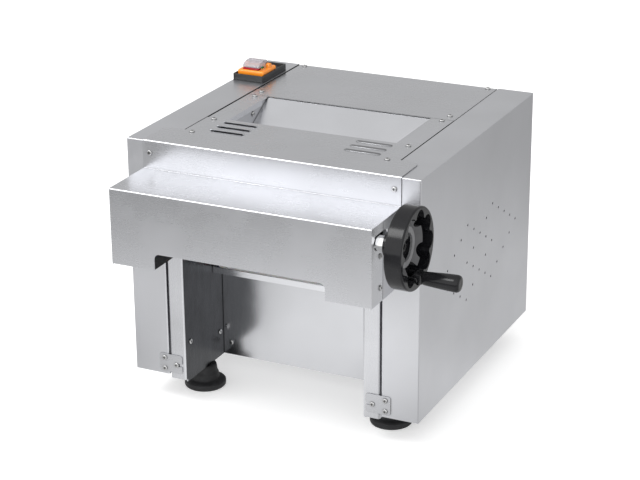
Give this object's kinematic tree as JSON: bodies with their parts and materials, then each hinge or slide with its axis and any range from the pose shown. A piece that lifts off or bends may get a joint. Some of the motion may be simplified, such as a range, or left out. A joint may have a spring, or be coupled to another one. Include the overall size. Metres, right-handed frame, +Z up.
{
  "type": "dough sheeter",
  "caption": "Bench dough sheeter: top hopper, two geared rolls, front exit under a hood, side handwheel that sets the roll gap.",
  "frame": {"origin": "centre of the machine's overall footprint, on the bench surface", "axes": "+Z up, +Y to the back of the machine, +X to the right, where the handwheel is"},
  "size_m": [0.596, 0.66, 0.4765],
  "materials": {
    "stainless": "satin brushed",
    "frame_steel": "satin brushed",
    "screw_steel": "bright",
    "machined_steel": "turned",
    "roll_steel": "ground and polished",
    "cast_grey": "painted casting",
    "brass": "machined",
    "black_plastic": "glossy moulded",
    "frame_plastic": "moulded",
    "grey_plastic": "satin moulded",
    "scraper_plastic": "food grade moulded",
    "orange_plastic": "moulded",
    "red_plastic": "moulded",
    "green_plastic": "moulded",
    "clear_plastic": "clear moulded",
    "rubber": "moulded"
  },
  "bodies": {
    "frame": {"base_rails": "frame_steel", "base_tray": "frame_steel", "cable_gland": "black_plastic", "exit_chute": "stainless", "feet": "rubber", "foot_studs": "screw_steel", "front_cover": "stainless", "front_screws": "screw_steel", "gearbox": "cast_grey", "hood_end_plates": "stainless", "hopper_chute": "stainless", "hopper_panel": "stainless", "latch_plates": "stainless", "latch_screws": "screw_steel", "left_casing": "stainless", "left_side_plate": "frame_steel", "motor": "cast_grey", "motor_mount": "frame_steel", "nut_beam": "frame_steel", "rear_panel": "stainless", "rear_roll_bearings": "cast_grey", "rear_scraper": "scraper_plastic", "rear_screws": "screw_steel", "rear_top_cover": "stainless", "recess_back_panel": "stainless", "recess_screws": "screw_steel", "right_casing": "stainless", "right_side_plate": "frame_steel", "screw_nut": "brass", "switch_body": "orange_plastic", "switch_frame": "frame_plastic", "switch_screw": "screw_steel", "terminal_box": "frame_plastic", "tie_bars": "frame_steel", "top_screws": "screw_steel"},
    "carriage": {"bearing_blocks": "frame_steel", "carriage_arms": "frame_steel", "carriage_beam": "frame_steel", "front_scraper": "scraper_plastic"},
    "front_roll": {"front_roll": "roll_steel", "front_roll_gear": "machined_steel"},
    "drive_roll": {"rear_roll": "roll_steel", "rear_roll_gear": "machined_steel", "drive_gear": "machined_steel"},
    "drive_pinion": {"output_pinion": "machined_steel"},
    "adjuster": {"cross_shaft": "machined_steel", "shaft_bevel": "machined_steel", "shaft_collar": "screw_steel", "handwheel": "black_plastic", "hub_ring": "grey_plastic", "wheel_nut": "screw_steel", "handle_bracket": "black_plastic"},
    "lead_screw": {"lead_screw": "machined_steel", "screw_bevel": "machined_steel"},
    "handle_arm": {"handle_knuckle": "black_plastic", "handle_spindle": "screw_steel"},
    "grip": {"handle_grip": "black_plastic"},
    "stop_button": {"stop_button": "red_plastic"},
    "start_button": {"start_button": "green_plastic"},
    "switch_flap": {"switch_flap": "clear_plastic"}
  },
  "joints": [
    {"name": "wheel_turn", "type": "hinge", "parent": "carriage", "child": "adjuster", "pos_m": [0.152, -0.2675, 0.3745], "axis": [1, 0, 0], "range_deg": [-1440, 0]},
    {"name": "gap_slide", "type": "slide", "parent": "frame", "child": "carriage", "axis": [0, 1, 0], "range_m": [0, 0.008]},
    {"name": "screw_turn", "type": "hinge", "parent": "carriage", "child": "lead_screw", "pos_m": [-0.048, -0.18, 0.3745], "axis": [0, 1, 0], "range_deg": [0, 1440]},
    {"name": "roll_drive", "type": "hinge", "parent": "frame", "child": "drive_roll", "pos_m": [-0.048, 0, 0.3], "axis": [1, 0, 0], "continuous": true},
    {"name": "front_roll_turn", "type": "hinge", "parent": "carriage", "child": "front_roll", "pos_m": [-0.048, -0.0895, 0.3], "axis": [1, 0, 0], "continuous": true},
    {"name": "pinion_turn", "type": "hinge", "parent": "frame", "child": "drive_pinion", "pos_m": [0.132, 0.05453, 0.16835], "axis": [1, 0, 0], "continuous": true},
    {"name": "handle_fold", "type": "hinge", "parent": "adjuster", "child": "handle_arm", "pos_m": [0.23, -0.26, 0.3281], "axis": [0, -0.9872, -0.1596], "range_deg": [0, 90]},
    {"name": "grip_spin", "type": "hinge", "parent": "handle_arm", "child": "grip", "pos_m": [0.272, -0.26, 0.3281], "axis": [1, 0, 0], "continuous": true},
    {"name": "stop_press", "type": "slide", "parent": "frame", "child": "stop_button", "axis": [0, 0, -1], "range_m": [0, 0.003], "stiffness_N_per_m": 400},
    {"name": "start_press", "type": "slide", "parent": "frame", "child": "start_button", "axis": [0, 0, -1], "range_m": [0, 0.003], "stiffness_N_per_m": 400},
    {"name": "flap_open", "type": "hinge", "parent": "frame", "child": "switch_flap", "pos_m": [-0.2695, 0.217, 0.4685], "axis": [-1, 0, 0], "range_deg": [0, 100]}
  ],
  "couplings": [
    {"joint": "wheel_turn", "follows": "gap_slide", "rad_per_m": -3141.6},
    {"joint": "screw_turn", "follows": "gap_slide", "rad_per_m": 3141.6},
    {"joint": "front_roll_turn", "follows": "roll_drive", "ratio": -1},
    {"joint": "pinion_turn", "follows": "roll_drive", "ratio": -3.75}
  ]
}
